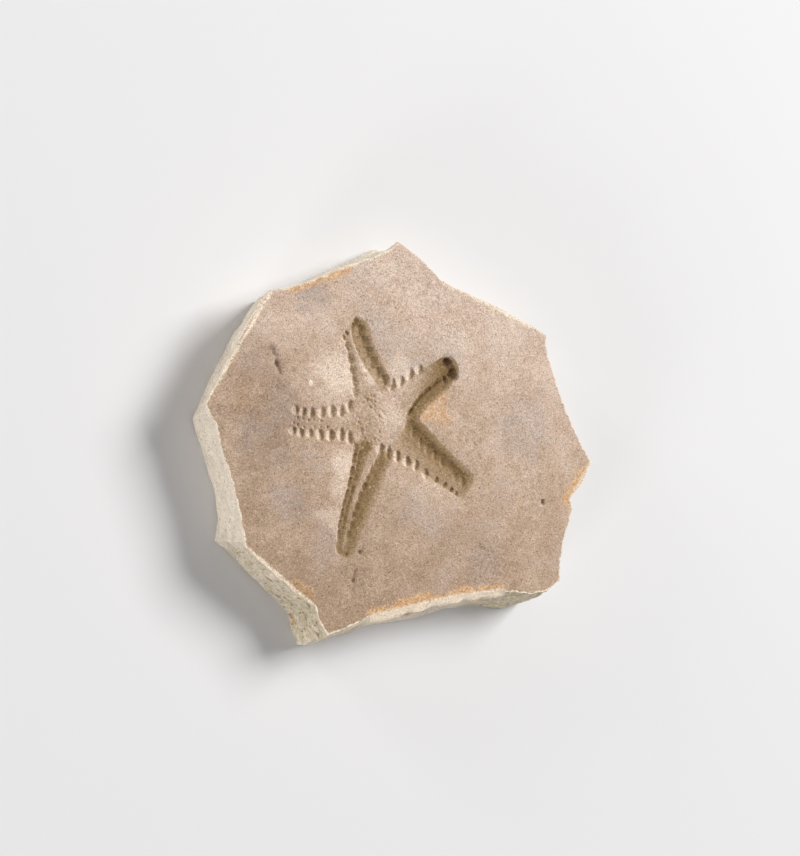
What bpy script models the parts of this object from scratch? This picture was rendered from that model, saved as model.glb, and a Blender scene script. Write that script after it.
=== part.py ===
"""A fossil starfish: the hollow mould of its underside in the bedding face of one broken slab of sandstone.

The slab lies on its back with the fossil up. +Z is up, +X and +Y run across the bedding face, and the
origin is the middle of the underside. Everything is worked out in millimetres and built in metres.
"""

from math import cos, radians, sin, sqrt
from typing import NamedTuple

import bmesh
import bpy
import numpy as np
from mathutils import Vector, noise
from mathutils.geometry import delaunay_2d_cdt

MM = 0.001

# The slab.
THICKNESS = 14.5
EDGE_STEP = 3.0             # spacing of the points round the slab
ARRIS_WEAR = 0.3            # how far out from the face the worn top edge reaches
FRESH_CHIP_WIDTH = 1.4      # the same along the wide chamfer freshly broken from the near edge
FRESH_CHIP_FROM = -11.0
FRESH_CHIP_TO = 29.0
FRESH_CHIP_BELOW = -35.0
FOOT_WEAR = 0.5             # how far in the sole is set from the foot of the walls
WALL_LEVELS = (0.05, 0.25, 0.42, 0.58, 0.76, 0.93)
WALL_PLAIN_FROM = 0.8       # above this share of the height the walls' lumps die out towards the rim
WORN_BETWEEN = (0.5, 0.9)   # and between these shares the wall comes out to the worn edge
WALL_LUMP = 9.0             # size of the fracture's hollows and swells
WALL_LUMP_HEIGHT = 0.9
LEDGES = ((4.2, 0.8), (9.3, 0.6))   # height and width of the steps that the beds leave in the walls
LEDGE_RISE = 0.8            # height of such a step's slope
SWELL_SIZE = 24.0           # the gentle waves of the bedding face
SWELL_HEIGHT = 0.5

# The underside: one bed has come away beyond a line across it, and left a low step.
STEP_AT = 27.0
STEP_SLANT = 0.35
STEP_HEIGHT = 0.9
STEP_WIDTH = 1.6

# The slab's upright edges, where the fracture turns, anticlockwise from the top corner:
# face x, face y, foot x, foot y.
ARRISES = (
    (-2.5, 50.2, -3.2, 49.2),
    (-4.5, 48.4, -5.4, 48.3),
    (-10.0, 45.5, -10.7, 45.7),
    (-17.1, 43.0, -16.6, 42.5),
    (-25.5, 39.5, -24.3, 38.6),
    (-33.2, 36.8, -31.2, 36.0),
    (-38.2, 35.8, -35.0, 35.0),
    (-40.9, 33.7, -37.6, 31.2),
    (-44.1, 28.7, -41.4, 26.7),
    (-47.3, 23.2, -44.2, 21.6),
    (-51.5, 15.1, -48.1, 14.6),
    (-55.9, 7.6, -52.0, 5.2),
    (-53.5, 3.8, -51.4, 2.0),
    (-51.4, -3.1, -49.8, -3.4),
    (-48.4, -11.4, -46.6, -11.8),
    (-46.3, -18.9, -45.4, -18.6),
    (-44.9, -26.1, -46.2, -24.2),
    (-40.6, -29.9, -41.0, -29.0),
    (-35.2, -33.9, -34.8, -34.3),
    (-30.3, -37.8, -30.2, -38.6),
    (-25.9, -40.4, -26.3, -42.3),
    (-24.7, -44.1, -25.0, -46.8),
    (-22.5, -47.5, -23.4, -50.4),
    (-17.8, -46.1, -18.6, -50.4),
    (-11.3, -43.2, -11.8, -48.0),
    (-2.2, -41.3, -1.6, -45.7),
    (9.4, -38.9, 10.4, -43.6),
    (18.3, -37.5, 19.4, -41.5),
    (27.9, -36.7, 28.6, -41.0),
    (36.5, -37.5, 36.9, -41.2),
    (42.0, -36.8, 42.8, -40.1),
    (45.8, -34.2, 46.8, -35.8),
    (46.1, -28.3, 47.0, -28.7),
    (47.7, -21.9, 48.3, -22.2),
    (49.9, -15.6, 50.6, -15.9),
    (49.0, -13.3, 51.0, -12.6),
    (53.1, -8.8, 53.6, -8.4),
    (55.9, -3.6, 54.9, -3.4),
    (52.2, 2.1, 51.2, 2.4),
    (48.5, 9.0, 47.4, 9.4),
    (45.4, 15.6, 44.6, 15.9),
    (42.9, 22.8, 42.6, 22.9),
    (41.7, 26.6, 41.9, 26.9),
    (42.0, 29.2, 41.2, 29.6),
    (36.7, 31.5, 35.9, 31.0),
    (29.1, 34.7, 28.4, 33.8),
    (21.5, 37.3, 20.9, 36.5),
    (12.5, 40.3, 12.0, 39.9),
    (9.8, 41.4, 9.2, 41.0),
    (5.1, 45.7, 4.3, 45.2),
)


class Arm(NamedTuple):
    """One arm of the mould. Left and right are as seen from the disc, looking out along the arm."""

    bearing: float
    reach: float
    bend: float             # how far the tip is bent to the left
    half_width: float       # at the disc
    taper: float            # the share of that width that is lost at the tip
    sockets: int            # plate sockets in each of its two rows
    sockets_end: float      # the share of the reach where the rows fade out
    crest: float            # depth of the raised band along the middle
    crest_base: float       # how far left of the middle the band's crest runs, by the disc
    crest_tip: float        # and by the tip
    left: tuple             # the row on each side: depth, width of the slope down to it, distance
    right: tuple            # from the rim to the band, and how well its sockets are parted


ARMS = (
    Arm(108.2, 26.4, -0.4, 5.2, 0.42, 8, 1.1, 0.35, -0.9, 0.9, (1.05, 0.8, 2.5, 1.0), (1.35, 1.5, 3.5, 0.6)),
    Arm(37.2, 27.4, -0.5, 5.0, 0.3, 8, 0.7, 0.7, 0.0, 0.0, (1.0, 0.9, 2.8, 1.0), (1.6, 1.7, 2.4, 0.1)),
    Arm(-32.0, 31.6, -0.5, 5.2, 0.25, 10, 1.1, 0.9, -0.3, -0.3, (1.45, 1.9, 4.2, 0.5), (1.2, 0.8, 2.5, 0.9)),
    Arm(-106.8, 35.6, -0.9, 5.1, 0.45, 12, 1.1, 0.45, -0.6, 0.2, (1.35, 2.6, 3.9, 0.2), (0.95, 0.7, 2.4, 0.7)),
    Arm(-177.6, 25.9, -0.3, 5.1, 0.35, 8, 1.1, 0.35, 0.0, 0.0, (1.0, 0.7, 2.9, 1.0), (1.0, 0.7, 2.9, 1.0)),
)

# The mould.
STAR_CENTRE = (-7.3, 5.4)
DISC_CREST = 0.3            # depth of the domed floor of the disc at its middle
DISC_DOME = 0.45            # how much deeper the dome's foot lies
DISC_RADIUS = 8.0
NOTCH_FILLET = 1.2          # rounding of the notches between the arms
WIDE_NOTCH_FILLET = 5.0     # the same where the second and third arms meet
WIDE_NOTCH_BEARING = 2.0
WIDE_NOTCH_SPREAD = 30.0
LIP_WIDTH = 4.0             # the rounded ground outside the rim
LIP_DROP = 0.4
BAND_RISE = 0.7             # width of the slope from the sockets up to the middle band
BAND_SLOPE = 0.12           # fall of the band on either side of its crest
RIB_HEIGHT = 0.12           # the septa run on over the band as low ribs
FIRST_SOCKET = 6.4          # distance of the notch sockets along the arms
ROWS_FROM = 5.2             # the rows of sockets deepen between these distances from the centre
ROWS_FULL = 7.6
ROWS_FADE = 0.15            # the share of an arm's reach over which its rows fade out
BAND_FROM = 6.4             # distances along an arm between which the dome gives way to its middle band
BAND_FULL = 12.8
SOCKET_SHRINK = 0.2         # how much shorter than the mean the sockets at the tip are
SOCKET_FLOOR = 0.16         # shares of the sockets' pitch: half the floor of a socket
SEPTUM_FOOT = 0.48          # and where the slope up to the septum ends
SEPTUM_RISE = 0.55          # how far the septa rise, as a share of the sockets' depth
SEPTUM_PINCH = 0.5          # how far the rim steps in at a septum
FLANK_BEARING = 11.0        # how far off an arm's own bearing its two sides lie
TIP_PIT_DEPTH = 1.0         # the deep hole at the second arm's tip
TIP_PIT_RADIUS = 2.6
TIP_PIT_FLOOR = 1.04
TIP_PIT_ALONG = 24.2

# The mesh.
SOCKET_ROWS = (0.18, 0.5, 0.82)     # where each socket has a row of points across the arm
INNER_ROWS = (4.0, FIRST_SOCKET)    # rows nearer the disc than the first socket's
TIP_BEARINGS = (-75, -45, -15, 15, 45, 75)
TIP_SLOPE = 0.8                     # the rings round a tip: at its rim, at the slope's foot, further in
TIP_FLOOR = 0.3                     # as a share of the tip's radius, part way down the lip, and round it
LIP_MIDDLE = 0.4
DISC_RINGS = ((0.0, 1), (2.5, 6), (5.0, 11))    # radius, and how many points
FACE_LATTICE = 5.5
UNDERSIDE_LATTICE = 7.0
LATTICE_CLEAR = 0.4                 # how clear of a finer stretch a lattice stays, as a share of its step
STEP_POINTS = np.arange(-48.0, 48.0, 4.0)
CLEAR_OF_EDGE = 1.8
LEAST_GAP = 0.55


def smooth(start, end, value):
    """A smooth rise from 0 at start to 1 at end."""
    share = np.clip((value - start) / (end - start), 0.0, 1.0)
    return share * share * (3.0 - 2.0 * share)


def waves(x, y, z, size):
    """Smooth noise between about -1 and 1 whose swells are about size across."""
    places = zip(np.ravel(x), np.ravel(y), np.ravel(z))
    return np.array([noise.noise(Vector(place) / size) for place in places])


def arm_place(arm, x, y):
    """How far a point lies out along the arm, and how far to the left of its middle line."""
    turn = radians(arm.bearing)
    east = x - STAR_CENTRE[0]
    north = y - STAR_CENTRE[1]
    along = east * cos(turn) + north * sin(turn)
    across = north * cos(turn) - east * sin(turn)
    return along, across - arm.bend * np.clip(along / arm.reach, 0.0, 1.2) ** 2


def half_width(arm, along):
    return arm.half_width * (1.0 - arm.taper * np.clip(along / arm.reach, 0.0, 1.0) ** 3)


def inside_arm(arm, x, y):
    """How far inside the arm's rim a point lies, negative outside it."""
    along, across = arm_place(arm, x, y)
    round_end = arm.reach - arm.half_width * (1.0 - arm.taper)
    past_end = np.maximum(along - round_end, 0.0) + np.maximum(-along, 0.0)
    return half_width(arm, along) - np.hypot(across, past_end)


def bearing_of(x, y):
    return np.degrees(np.arctan2(y - STAR_CENTRE[1], x - STAR_CENTRE[0]))


def by_flank(bearing, part):
    """A value of the rows on the arms' left and right sides, blended round the star by bearing."""
    bearings = [arm.bearing + FLANK_BEARING for arm in ARMS]
    bearings += [arm.bearing - FLANK_BEARING for arm in ARMS]
    values = [arm.left[part] for arm in ARMS] + [arm.right[part] for arm in ARMS]
    return np.interp(bearing, bearings, values, period=360.0)


def inside_star(x, y):
    """How far inside the whole star's rim a point lies, with its notches rounded."""
    off_wide_notch = np.abs(bearing_of(x, y) - WIDE_NOTCH_BEARING)
    wide = 1.0 - smooth(0.0, WIDE_NOTCH_SPREAD, off_wide_notch)
    fillet = NOTCH_FILLET + (WIDE_NOTCH_FILLET - NOTCH_FILLET) * wide
    inside = inside_arm(ARMS[0], x, y)
    for arm in ARMS[1:]:
        other = inside_arm(arm, x, y)
        share = np.clip(0.5 + 0.5 * (other - inside) / fillet, 0.0, 1.0)
        inside = inside + (other - inside) * share + fillet * share * (1.0 - share)
    return inside


def socket_count(arm, along):
    """How many sockets out from the notch a point lies; they get shorter towards the tip."""
    share = np.clip((along - FIRST_SOCKET) / (arm.reach - FIRST_SOCKET), 0.0, 1.0)
    return arm.sockets * share * (1.0 - SOCKET_SHRINK + SOCKET_SHRINK * share)


def septum(arm, along):
    """1 on the wall between two sockets, 0 inside a socket."""
    count = socket_count(arm, along)
    return smooth(SOCKET_FLOOR, SEPTUM_FOOT, np.abs(count - np.round(count)))


def nearest_arm(x, y):
    """Which arm each point belongs to."""
    return np.argmax([inside_arm(arm, x, y) for arm in ARMS], axis=0)


def mould_depth(x, y):
    """Depth of the starfish's mould below the bedding face."""
    owner = nearest_arm(x, y)
    depth = np.zeros_like(x)
    for number, arm in enumerate(ARMS):
        mine = owner == number
        depth[mine] = arm_depth(arm, x[mine], y[mine])
    return depth


def arm_depth(arm, x, y):
    """Depth of the mould in the part of it that belongs to one arm."""
    along, across = arm_place(arm, x, y)
    bearing = bearing_of(x, y)
    row_depth, slope, row_edge, parted = [by_flank(bearing, part) for part in range(4)]
    faded = smooth(arm.sockets_end - ROWS_FADE, arm.sockets_end, along / arm.reach)
    walls = septum(arm, along) * parted * (1.0 - faded)

    # The middle band: a crest that need not be the arm's middle, and a dome over the disc.
    clear_of_disc = smooth(BAND_FROM, BAND_FULL, along)
    crest_line = arm.crest_base + (arm.crest_tip - arm.crest_base) * along / arm.reach
    crest_line = crest_line * clear_of_disc
    radius = np.hypot(x - STAR_CENTRE[0], y - STAR_CENTRE[1])
    dome = DISC_CREST + DISC_DOME * (radius / DISC_RADIUS) ** 2
    band = arm.crest + BAND_SLOPE * np.abs(across - crest_line) - RIB_HEIGHT * walls
    band = dome + (band - dome) * clear_of_disc

    # The rows of sockets between the rim and the band.
    inside = inside_star(x, y)
    width = inside + np.abs(across)
    left = across > crest_line
    from_rim = np.where(left, width - across, width + across)
    rim_to_crest = np.where(left, width - crest_line, width + crest_line)
    edge = np.minimum(row_edge, rim_to_crest - BAND_RISE)
    row = row_depth * (1.0 - SEPTUM_RISE * walls)
    shallowed = 1.0 - smooth(ROWS_FROM, ROWS_FULL, radius) * (1.0 - faded)
    row = row + (band - row) * shallowed
    floor = row + (band - row) * smooth(edge, edge + BAND_RISE, from_rim)

    lip = LIP_DROP * np.clip(1.0 + inside / LIP_WIDTH, 0.0, 1.0) ** 2
    cut = smooth(0.0, slope, inside - SEPTUM_PINCH * walls)
    return lip + (floor - lip) * cut + tip_pit(x, y) * cut


def tip_pit(x, y):
    """The extra depth of the hole at the second arm's tip."""
    along, across = arm_place(ARMS[1], x, y)
    off = np.hypot(along - TIP_PIT_ALONG, across)
    return TIP_PIT_DEPTH * (1.0 - smooth(TIP_PIT_FLOOR, TIP_PIT_RADIUS, off))


def face_height(x, y):
    swell = 0.5 * SWELL_HEIGHT * (1.0 + waves(x, y, np.zeros_like(x), SWELL_SIZE))
    return THICKNESS - swell - mould_depth(x, y)


def underside_height(x, y):
    return STEP_HEIGHT * smooth(STEP_AT, STEP_AT + STEP_WIDTH, x + STEP_SLANT * y)


def slab_outlines():
    """The face's and the foot's outlines, point for point, with a few points between the arrises."""
    corners = np.array(ARRISES)
    rows = []
    for corner, following in zip(corners, np.roll(corners, -1, axis=0)):
        count = max(1, round(np.linalg.norm((following - corner)[:2]) / EDGE_STEP))
        rows += [corner + (following - corner) * step / count for step in range(count)]
    rows = np.array(rows)
    return rows[:, :2], rows[:, 2:]


def outward(outline):
    """Unit normals that point out of an anticlockwise outline."""
    run = np.roll(outline, -1, axis=0) - np.roll(outline, 1, axis=0)
    normals = np.column_stack([run[:, 1], -run[:, 0]])
    return normals / np.linalg.norm(normals, axis=1)[:, None]


def wall_relief(x, y, z):
    """How far the broken wall stands out from the plain surface between the two outlines."""
    stand = WALL_LUMP_HEIGHT * waves(x, y, 2.0 * z, WALL_LUMP)
    for height, width in LEDGES:
        present = smooth(0.0, 0.3, waves(x, y, np.full_like(x, 10.0 * height), 2.0 * WALL_LUMP))
        stand -= width * present * smooth(height, height + LEDGE_RISE, z)
    return stand


def edge_wear(face):
    """How far the top edge is worn or chipped outward at each point of the face's outline."""
    east, north = face.T
    fresh = (north < FRESH_CHIP_BELOW) & (east > FRESH_CHIP_FROM) & (east < FRESH_CHIP_TO)
    return np.where(fresh, FRESH_CHIP_WIDTH, ARRIS_WEAR)


def wall_rings():
    """The rings of points from the foot up to the rim of the face."""
    face, foot = slab_outlines()
    normals = outward(face)
    sole = foot - normals * FOOT_WEAR
    rings = [np.column_stack([sole, underside_height(*sole.T)])]
    for level in WALL_LEVELS:
        plain = foot + (face - foot) * level
        height = np.full(len(face), level * THICKNESS)
        stand = wall_relief(*plain.T, height) * (1.0 - smooth(WALL_PLAIN_FROM, 1.0, level))
        stand += edge_wear(face) * smooth(*WORN_BETWEEN, level)
        rings.append(np.column_stack([plain + normals * stand[:, None], height]))
    rings.append(np.column_stack([face, face_height(*face.T)]))
    return rings


def lattice(step):
    """Points of a triangular lattice over the whole slab."""
    half = np.abs(np.array(ARRISES)).max()
    rows = np.arange(-half, half, step * sqrt(0.75))
    columns = np.arange(-half, half, step)
    return np.array([(x + 0.5 * step * (n % 2), y) for n, y in enumerate(rows) for x in columns])


def on_slab(arm, along, across):
    """Where a point that is given along and across an arm lies on the slab."""
    turn = radians(arm.bearing)
    across = across + arm.bend * min(max(along / arm.reach, 0.0), 1.2) ** 2
    east = STAR_CENTRE[0] + along * cos(turn) - across * sin(turn)
    return east, STAR_CENTRE[1] + along * sin(turn) + across * cos(turn)


def cross_points(arm, along):
    """Points across an arm where its cross-section turns, from its middle line out to the flat face."""
    width = half_width(arm, along)
    points = [(along, 0.0)]
    for side, (_, slope, row_edge, parted) in ((1.0, arm.left), (-1.0, arm.right)):
        rim = SEPTUM_PINCH * parted * septum(arm, along)
        lip = (-LIP_MIDDLE * LIP_WIDTH, -LIP_WIDTH)
        for inset in (rim, rim + slope, row_edge, row_edge + BAND_RISE, *lip):
            if inset < width:
                points.append((along, side * (width - inset)))
    return points


def tip_points(arm):
    """Points round the blunt end of an arm."""
    radius = arm.half_width * (1.0 - arm.taper)
    lip = (radius + LIP_MIDDLE * LIP_WIDTH, radius + LIP_WIDTH)
    rings = (radius, radius - TIP_SLOPE, TIP_FLOOR * radius, *lip)
    turns = [radians(bearing) for bearing in TIP_BEARINGS]
    return [(arm.reach - radius + ring * cos(t), ring * sin(t)) for ring in rings for t in turns]


def star_points():
    """Points that follow the rims, sockets and middle bands of the arms, and the dome of the disc."""
    points = []
    for arm in ARMS:
        outs = np.linspace(0.0, arm.reach, 800)
        counts = socket_count(arm, outs)
        rows = [socket + part for socket in range(arm.sockets) for part in SOCKET_ROWS]
        alongs = [outs[np.argmin(np.abs(counts - row))] for row in rows] + list(INNER_ROWS)
        round_end = arm.reach - arm.half_width * (1.0 - arm.taper)
        places = [place for along in alongs if along < round_end for place in cross_points(arm, along)]
        for along, across in places + tip_points(arm):
            east, north = on_slab(arm, along, across)
            if ARMS[nearest_arm(east, north)] is arm:
                points.append((east, north))
    for radius, count in DISC_RINGS:
        for turn in np.arange(count) * radians(360.0 / count):
            points.append((STAR_CENTRE[0] + radius * cos(turn), STAR_CENTRE[1] + radius * sin(turn)))
    return np.array(points)


def within(outline, points, clearance):
    """Which points lie inside the outline and at least a clearance from its points and sides."""
    ends = np.roll(outline, -1, axis=0)
    run = ends - outline
    offset = points[:, None] - outline[None]
    share = np.clip((offset * run).sum(2) / (run * run).sum(1), 0.0, 1.0)
    gap = np.linalg.norm(offset - share[..., None] * run, axis=2).min(axis=1)
    straddles = (outline[:, 1] > points[:, None, 1]) != (ends[:, 1] > points[:, None, 1])
    lift = np.where(run[:, 1] == 0.0, 1.0, run[:, 1])
    crossing = outline[:, 0] + (points[:, None, 1] - outline[:, 1]) * run[:, 0] / lift
    odd = (straddles & (points[:, None, 0] < crossing)).sum(axis=1) % 2 == 1
    return odd & (gap > clearance)


def thinned(points, gap):
    """The points in their order, leaving out each that lies too close to one already kept."""
    kept = points[:1]
    for point in points[1:]:
        if np.hypot(*(kept - point).T).min() > gap:
            kept = np.vstack([kept, point])
    return kept


def face_points(rim):
    """The points of the bedding face inside its rim: dense on the star, and a lattice round it."""
    star = thinned(star_points(), LEAST_GAP)
    ground = lattice(FACE_LATTICE)
    ground = ground[inside_star(*ground.T) < -LIP_WIDTH - LATTICE_CLEAR * FACE_LATTICE]
    points = np.vstack([star, ground])
    return points[within(rim, points, CLEAR_OF_EDGE)]


def underside_points(sole):
    """The points of the underside, with two rows along the step."""
    ground = lattice(UNDERSIDE_LATTICE)
    off_step = ground[:, 0] + STEP_SLANT * ground[:, 1] - STEP_AT - 0.5 * STEP_WIDTH
    ground = ground[np.abs(off_step) > LATTICE_CLEAR * UNDERSIDE_LATTICE]
    edges = (STEP_AT, STEP_AT + STEP_WIDTH)
    rows = [np.column_stack([edge - STEP_SLANT * STEP_POINTS, STEP_POINTS]) for edge in edges]
    points = np.vstack([ground] + rows)
    return points[within(sole, points, CLEAR_OF_EDGE)]


def fill(outline, points):
    """Triangles over an outline and the points inside it, numbered with the outline's points first."""
    places = [Vector(place) for place in np.vstack([outline, points])]
    ring = list(range(len(outline)))
    _, _, faces, origins, _, _ = delaunay_2d_cdt(places, [], [ring], 1, 1e-6)
    return [[origins[corner][0] for corner in face] for face in faces]


def add_sheet(bm, ring, points, heights, upward):
    """Fills a ring of vertices with a triangulated sheet that also passes through the points."""
    outline = np.array([vertex.co.xy for vertex in ring]) / MM
    vertices = list(ring)
    vertices += [bm.verts.new(Vector((x, y, z)) * MM) for (x, y), z in zip(points, heights)]
    for triangle in fill(outline, points):
        corners = [vertices[corner] for corner in triangle]
        bm.faces.new(corners if upward else corners[::-1])


def add_walls(bm, rings):
    """Joins the rings with quads, from the foot to the rim, and returns the rings' vertices."""
    loops = [[bm.verts.new(Vector(place) * MM) for place in ring] for ring in rings]
    for lower, upper in zip(loops, loops[1:]):
        for near in range(len(lower)):
            far = (near + 1) % len(lower)
            bm.faces.new((lower[near], lower[far], upper[far], upper[near]))
    return loops


def stone_material():
    stone = bpy.data.materials.new("sandstone")
    stone.use_nodes = True
    shader = stone.node_tree.nodes["Principled BSDF"]
    shader.inputs["Base Color"].default_value = (0.50, 0.37, 0.27, 1.0)
    shader.inputs["Roughness"].default_value = 0.9
    shader.inputs["Metallic"].default_value = 0.0
    return stone


def build_slab():
    rings = wall_rings()
    bm = bmesh.new()
    loops = add_walls(bm, rings)
    points = face_points(rings[-1][:, :2])
    add_sheet(bm, loops[-1], points, face_height(*points.T), upward=True)
    points = underside_points(rings[0][:, :2])
    add_sheet(bm, loops[0], points, underside_height(*points.T), upward=False)
    mesh = bpy.data.meshes.new("slab")
    bm.to_mesh(mesh)
    bm.free()
    mesh.materials.append(stone_material())
    slab = bpy.data.objects.new("slab", mesh)
    bpy.context.scene.collection.objects.link(slab)
    return slab


for old in list(bpy.data.objects):
    bpy.data.objects.remove(old, do_unlink=True)
build_slab()
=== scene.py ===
from math import cos, radians, sin, sqrt
from typing import NamedTuple

import bmesh
import bpy
import numpy as np
from mathutils import Matrix, Vector, noise
from mathutils.geometry import delaunay_2d_cdt


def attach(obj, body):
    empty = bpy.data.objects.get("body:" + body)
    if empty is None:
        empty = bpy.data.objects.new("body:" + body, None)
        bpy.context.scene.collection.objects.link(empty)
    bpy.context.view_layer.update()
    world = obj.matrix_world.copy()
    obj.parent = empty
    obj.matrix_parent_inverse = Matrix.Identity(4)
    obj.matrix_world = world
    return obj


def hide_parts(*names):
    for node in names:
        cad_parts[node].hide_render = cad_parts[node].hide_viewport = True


# The fossil starfish: one broken slab of fine sandstone that lies face up, with the hollow mould of a
# starfish in its bedding face. Lengths are in millimetres until a point becomes a vertex.
MM = 0.001
SEED = 7

# The slab's form, with the same sizes as in the CAD.
THICKNESS = 14.5
ARRIS_WEAR = 0.3  # how far the top edge is worn outward
FRESH_CHIP_WIDTH = 1.4  # and along the fresh chip of the lower edge
FRESH_CHIP_FROM = -11.0
FRESH_CHIP_TO = 29.0
FRESH_CHIP_BELOW = -35.0
CHIP_FADE = 1.0
FOOT_WEAR = 0.5
WALL_PLAIN_FROM = 0.8  # shares of the wall's height: its lumps fade from here,
WORN_BETWEEN = (0.5, 0.9)  # and the top edge's wear sets in here
WALL_LUMP = 9.0  # size of the fracture's hollows and swells
WALL_LUMP_HEIGHT = 0.9
WALL_LAYERING = 2.0  # how much wider than high they are
LEDGES = ((4.2, 0.8), (9.3, 0.6))  # height and width
LEDGE_RISE = 0.8
LEDGE_LAYER = 10.0
LEDGE_PRESENT = 0.3
SWELL_SIZE = 24.0  # the slow rise and fall of the bedding face
SWELL_HEIGHT = 0.5
STEP_AT = 27.0  # the underside's low step
STEP_SLANT = 0.35
STEP_HEIGHT = 0.9
STEP_WIDTH = 1.6

# Where the fracture turns, anticlockwise from the top corner: face x, face y, foot x, foot y.
ARRISES = (
    (-2.5, 50.2, -3.2, 49.2), (-4.5, 48.4, -5.4, 48.3), (-10.0, 45.5, -10.7, 45.7),
    (-17.1, 43.0, -16.6, 42.5), (-25.5, 39.5, -24.3, 38.6), (-33.2, 36.8, -31.2, 36.0),
    (-38.2, 35.8, -35.0, 35.0), (-40.9, 33.7, -37.6, 31.2), (-44.1, 28.7, -41.4, 26.7),
    (-47.3, 23.2, -44.2, 21.6), (-51.5, 15.1, -48.1, 14.6), (-55.9, 7.6, -52.0, 5.2),
    (-53.5, 3.8, -51.4, 2.0), (-51.4, -3.1, -49.8, -3.4), (-48.4, -11.4, -46.6, -11.8),
    (-46.3, -18.9, -45.4, -18.6), (-44.9, -26.1, -46.2, -24.2), (-40.6, -29.9, -41.0, -29.0),
    (-35.2, -33.9, -34.8, -34.3), (-30.3, -37.8, -30.2, -38.6), (-25.9, -40.4, -26.3, -42.3),
    (-24.7, -44.1, -25.0, -46.8), (-22.5, -47.5, -23.4, -50.4), (-17.8, -46.1, -18.6, -50.4),
    (-11.3, -43.2, -11.8, -48.0), (-2.2, -41.3, -1.6, -45.7), (9.4, -38.9, 10.4, -43.6),
    (18.3, -37.5, 19.4, -41.5), (27.9, -36.7, 28.6, -41.0), (36.5, -37.5, 36.9, -41.2),
    (42.0, -36.8, 42.8, -40.1), (45.8, -34.2, 46.8, -35.8), (46.1, -28.3, 47.0, -28.7),
    (47.7, -21.9, 48.3, -22.2), (49.9, -15.6, 50.6, -15.9), (49.0, -13.3, 51.0, -12.6),
    (53.1, -8.8, 53.6, -8.4), (55.9, -3.6, 54.9, -3.4), (52.2, 2.1, 51.2, 2.4),
    (48.5, 9.0, 47.4, 9.4), (45.4, 15.6, 44.6, 15.9), (42.9, 22.8, 42.6, 22.9),
    (41.7, 26.6, 41.9, 26.9), (42.0, 29.2, 41.2, 29.6), (36.7, 31.5, 35.9, 31.0),
    (29.1, 34.7, 28.4, 33.8), (21.5, 37.3, 20.9, 36.5), (12.5, 40.3, 12.0, 39.9),
    (9.8, 41.4, 9.2, 41.0), (5.1, 45.7, 4.3, 45.2),
)


class Line(NamedTuple):
    """A line that runs out along an arm: how far left of its axis, how deep, and how stained the stone is.
    Each has a number for every station of the arm, or one for them all."""

    across: tuple
    depth: tuple
    stain: tuple


class Row(NamedTuple):
    """A row of plate sockets. Each drops from one side and climbs to the other, with a keel between."""

    places: tuple  # the middle of each climbing side: out along the arm, and left of its axis
    length: tuple  # half of each socket's keel, at the row's ends
    climb: tuple  # how wide the climbing side is
    drop: tuple  # how wide the dropping side is
    depth: tuple  # how much deeper than the trough the keel is
    facing: float  # the bearing of the dropping side from the keel
    corners: float = 2.0  # 2 is an oval, and 4 a rounded block


class Arm(NamedTuple):
    """One arm of the mould. Left and right are as seen from the disc, looking out along the arm."""

    bearing: float
    reach: float
    end: float  # 2 ends the arm round, less ends it in a point, and more squares it off
    stations: tuple  # distances out along the arm
    lines: tuple  # from the left rim to the right rim
    rows: tuple


STAR_CENTRE = (-7.3, 5.4)
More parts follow.
